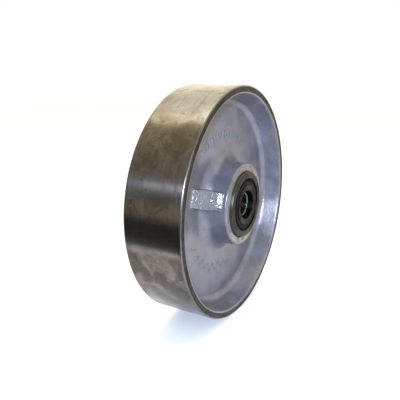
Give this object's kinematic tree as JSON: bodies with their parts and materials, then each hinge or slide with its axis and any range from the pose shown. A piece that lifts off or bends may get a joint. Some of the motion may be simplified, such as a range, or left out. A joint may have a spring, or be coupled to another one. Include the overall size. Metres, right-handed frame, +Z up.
{
  "type": "cast roller wheel",
  "caption": "Flat-tread cast iron roller wheel with a dished web, a long hub, a sealed ball bearing pressed into each end and a stepped spacer sleeve for the axle.",
  "frame": {"origin": "centre of the wheel, on the axle's axis at the middle of the tread's width", "axes": "+Y along the axle, out of the face with the boss on its hub; +Z up; the boss stands 15 degrees above +X"},
  "size_m": [0.2032, 0.0604, 0.2032],
  "materials": {
    "casting": "sand-cast iron in silver paint, with a bare turned tread, rim faces and hub faces",
    "ring_steel": "ground bearing steel, stained dark olive by oil",
    "seal_rubber": "black moulded nitrile",
    "cage_steel": "pressed steel strip",
    "ball_steel": "lapped and polished",
    "sleeve_steel": "turned bare steel"
  },
  "bodies": {
    "axle_set": {"spacer_sleeve": "sleeve_steel", "front_inner_ring": "ring_steel", "rear_inner_ring": "ring_steel"},
    "wheel": {"wheel_casting": "casting", "front_outer_ring": "ring_steel", "front_outboard_seal": "seal_rubber", "front_inboard_seal": "seal_rubber", "rear_outer_ring": "ring_steel", "rear_outboard_seal": "seal_rubber", "rear_inboard_seal": "seal_rubber"},
    "front_cage": {"front_cage_outboard": "cage_steel", "front_cage_inboard": "cage_steel", "front_cage_rivets": "cage_steel"},
    "front_ball_1": {"front_ball_1": "ball_steel"},
    "front_ball_2": {"front_ball_2": "ball_steel"},
    "front_ball_3": {"front_ball_3": "ball_steel"},
    "front_ball_4": {"front_ball_4": "ball_steel"},
    "front_ball_5": {"front_ball_5": "ball_steel"},
    "front_ball_6": {"front_ball_6": "ball_steel"},
    "front_ball_7": {"front_ball_7": "ball_steel"},
    "front_ball_8": {"front_ball_8": "ball_steel"},
    "rear_cage": {"rear_cage_outboard": "cage_steel", "rear_cage_inboard": "cage_steel", "rear_cage_rivets": "cage_steel"},
    "rear_ball_1": {"rear_ball_1": "ball_steel"},
    "rear_ball_2": {"rear_ball_2": "ball_steel"},
    "rear_ball_3": {"rear_ball_3": "ball_steel"},
    "rear_ball_4": {"rear_ball_4": "ball_steel"},
    "rear_ball_5": {"rear_ball_5": "ball_steel"},
    "rear_ball_6": {"rear_ball_6": "ball_steel"},
    "rear_ball_7": {"rear_ball_7": "ball_steel"},
    "rear_ball_8": {"rear_ball_8": "ball_steel"}
  },
  "joints": [
    {"name": "wheel_spin", "type": "hinge", "parent": "axle_set", "child": "wheel", "pos_m": [0, 0, 0], "axis": [0, 1, 0], "continuous": true},
    {"name": "front_cage_orbit", "type": "hinge", "parent": "axle_set", "child": "front_cage", "pos_m": [0, 0.02223, 0], "axis": [0, 1, 0], "continuous": true},
    {"name": "front_ball_1_roll", "type": "hinge", "parent": "front_cage", "child": "front_ball_1", "pos_m": [0.02064, 0.02223, 0], "axis": [0, 1, 0], "continuous": true},
    {"name": "front_ball_2_roll", "type": "hinge", "parent": "front_cage", "child": "front_ball_2", "pos_m": [0.01459, 0.02223, -0.01459], "axis": [0, 1, 0], "continuous": true},
    {"name": "front_ball_3_roll", "type": "hinge", "parent": "front_cage", "child": "front_ball_3", "pos_m": [0, 0.02223, -0.02064], "axis": [0, 1, 0], "continuous": true},
    {"name": "front_ball_4_roll", "type": "hinge", "parent": "front_cage", "child": "front_ball_4", "pos_m": [-0.01459, 0.02223, -0.01459], "axis": [0, 1, 0], "continuous": true},
    {"name": "front_ball_5_roll", "type": "hinge", "parent": "front_cage", "child": "front_ball_5", "pos_m": [-0.02064, 0.02223, 0], "axis": [0, 1, 0], "continuous": true},
    {"name": "front_ball_6_roll", "type": "hinge", "parent": "front_cage", "child": "front_ball_6", "pos_m": [-0.01459, 0.02223, 0.01459], "axis": [0, 1, 0], "continuous": true},
    {"name": "front_ball_7_roll", "type": "hinge", "parent": "front_cage", "child": "front_ball_7", "pos_m": [0, 0.02223, 0.02064], "axis": [0, 1, 0], "continuous": true},
    {"name": "front_ball_8_roll", "type": "hinge", "parent": "front_cage", "child": "front_ball_8", "pos_m": [0.01459, 0.02223, 0.01459], "axis": [0, 1, 0], "continuous": true},
    {"name": "rear_cage_orbit", "type": "hinge", "parent": "axle_set", "child": "rear_cage", "pos_m": [0, -0.02223, 0], "axis": [0, 1, 0], "continuous": true},
    {"name": "rear_ball_1_roll", "type": "hinge", "parent": "rear_cage", "child": "rear_ball_1", "pos_m": [0.02064, -0.02223, 0], "axis": [0, 1, 0], "continuous": true},
    {"name": "rear_ball_2_roll", "type": "hinge", "parent": "rear_cage", "child": "rear_ball_2", "pos_m": [0.01459, -0.02223, -0.01459], "axis": [0, 1, 0], "continuous": true},
    {"name": "rear_ball_3_roll", "type": "hinge", "parent": "rear_cage", "child": "rear_ball_3", "pos_m": [0, -0.02223, -0.02064], "axis": [0, 1, 0], "continuous": true},
    {"name": "rear_ball_4_roll", "type": "hinge", "parent": "rear_cage", "child": "rear_ball_4", "pos_m": [-0.01459, -0.02223, -0.01459], "axis": [0, 1, 0], "continuous": true},
    {"name": "rear_ball_5_roll", "type": "hinge", "parent": "rear_cage", "child": "rear_ball_5", "pos_m": [-0.02064, -0.02223, 0], "axis": [0, 1, 0], "continuous": true},
    {"name": "rear_ball_6_roll", "type": "hinge", "parent": "rear_cage", "child": "rear_ball_6", "pos_m": [-0.01459, -0.02223, 0.01459], "axis": [0, 1, 0], "continuous": true},
    {"name": "rear_ball_7_roll", "type": "hinge", "parent": "rear_cage", "child": "rear_ball_7", "pos_m": [0, -0.02223, 0.02064], "axis": [0, 1, 0], "continuous": true},
    {"name": "rear_ball_8_roll", "type": "hinge", "parent": "rear_cage", "child": "rear_ball_8", "pos_m": [0.01459, -0.02223, 0.01459], "axis": [0, 1, 0], "continuous": true}
  ],
  "couplings": [
    {"joint": "front_cage_orbit", "follows": "wheel_spin", "ratio": 0.61538},
    {"joint": "front_ball_1_roll", "follows": "wheel_spin", "ratio": 2.0513},
    {"joint": "front_ball_2_roll", "follows": "wheel_spin", "ratio": 2.0513},
    {"joint": "front_ball_3_roll", "follows": "wheel_spin", "ratio": 2.0513},
    {"joint": "front_ball_4_roll", "follows": "wheel_spin", "ratio": 2.0513},
    {"joint": "front_ball_5_roll", "follows": "wheel_spin", "ratio": 2.0513},
    {"joint": "front_ball_6_roll", "follows": "wheel_spin", "ratio": 2.0513},
    {"joint": "front_ball_7_roll", "follows": "wheel_spin", "ratio": 2.0513},
    {"joint": "front_ball_8_roll", "follows": "wheel_spin", "ratio": 2.0513},
    {"joint": "rear_cage_orbit", "follows": "wheel_spin", "ratio": 0.61538},
    {"joint": "rear_ball_1_roll", "follows": "wheel_spin", "ratio": 2.0513},
    {"joint": "rear_ball_2_roll", "follows": "wheel_spin", "ratio": 2.0513},
    {"joint": "rear_ball_3_roll", "follows": "wheel_spin", "ratio": 2.0513},
    {"joint": "rear_ball_4_roll", "follows": "wheel_spin", "ratio": 2.0513},
    {"joint": "rear_ball_5_roll", "follows": "wheel_spin", "ratio": 2.0513},
    {"joint": "rear_ball_6_roll", "follows": "wheel_spin", "ratio": 2.0513},
    {"joint": "rear_ball_7_roll", "follows": "wheel_spin", "ratio": 2.0513},
    {"joint": "rear_ball_8_roll", "follows": "wheel_spin", "ratio": 2.0513}
  ]
}
